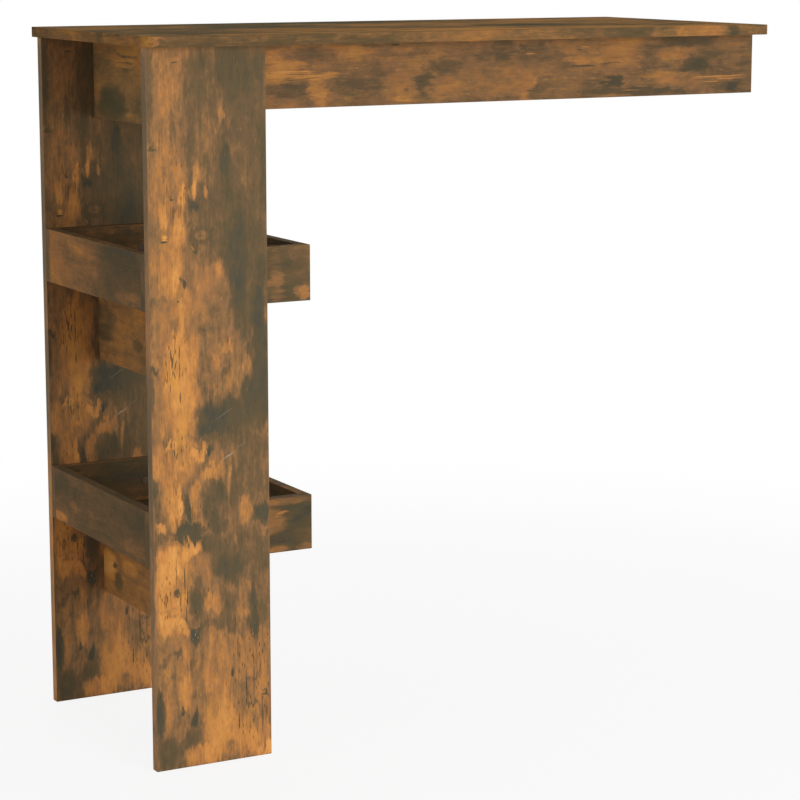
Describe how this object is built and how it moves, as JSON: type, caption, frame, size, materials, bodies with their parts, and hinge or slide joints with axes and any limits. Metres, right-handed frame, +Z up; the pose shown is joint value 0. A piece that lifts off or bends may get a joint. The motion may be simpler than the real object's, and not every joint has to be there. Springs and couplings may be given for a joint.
{
  "type": "wall-mounted side table",
  "caption": "High side table whose long top stands on a slim tower with open trays at one end and is screwed to a wall at the other.",
  "frame": {"origin": "on the floor, under the middle of the top", "axes": "+X along the top to the wall, +Y from the front long edge to the back one, +Z up"},
  "size_m": [1.02, 0.45, 1.035],
  "materials": {
    "top_foil": "smoked-oak printed foil on chipboard, satin, grain along the top",
    "panel_foil": "smoked-oak printed foil on chipboard, satin, grain upright",
    "apron_foil": "smoked-oak printed foil on chipboard, satin, grain along the apron",
    "rail_foil": "smoked-oak printed foil on chipboard, satin, grain along the rail",
    "tray_foil": "smoked-oak printed foil on chipboard, satin, grain along each wall",
    "zinc": "zinc-plated, dull",
    "beech": "bare turned beech",
    "brown_plastic": "matt moulded plastic"
  },
  "bodies": {
    "root": {"tabletop": "top_foil", "front_panel": "panel_foil", "back_panel": "panel_foil", "top_cross_rail": "rail_foil", "middle_cross_rail": "rail_foil", "lower_cross_rail": "rail_foil", "front_apron": "apron_foil", "back_apron": "apron_foil", "wall_rail": "rail_foil", "upper_tray_front": "tray_foil", "upper_tray_back": "tray_foil", "upper_tray_left_end": "tray_foil", "upper_tray_right_end": "tray_foil", "upper_tray_floor": "tray_foil", "lower_tray_front": "tray_foil", "lower_tray_back": "tray_foil", "lower_tray_left_end": "tray_foil", "lower_tray_right_end": "tray_foil", "lower_tray_floor": "tray_foil", "tower_cam_bolts": "zinc", "tower_cam_discs": "zinc", "tower_dowels": "beech", "apron_cam_bolts": "zinc", "apron_cam_discs": "zinc", "apron_dowels": "beech", "apron_screws": "zinc", "top_cam_bolts": "zinc", "top_cam_discs": "zinc", "top_dowels": "beech", "upper_tray_cam_bolts": "zinc", "upper_tray_cam_discs": "zinc", "upper_tray_dowels": "beech", "upper_tray_screws": "zinc", "upper_tray_screw_caps": "brown_plastic", "lower_tray_cam_bolts": "zinc", "lower_tray_cam_discs": "zinc", "lower_tray_dowels": "beech", "lower_tray_screws": "zinc", "lower_tray_screw_caps": "brown_plastic"}
  },
  "joints": []
}
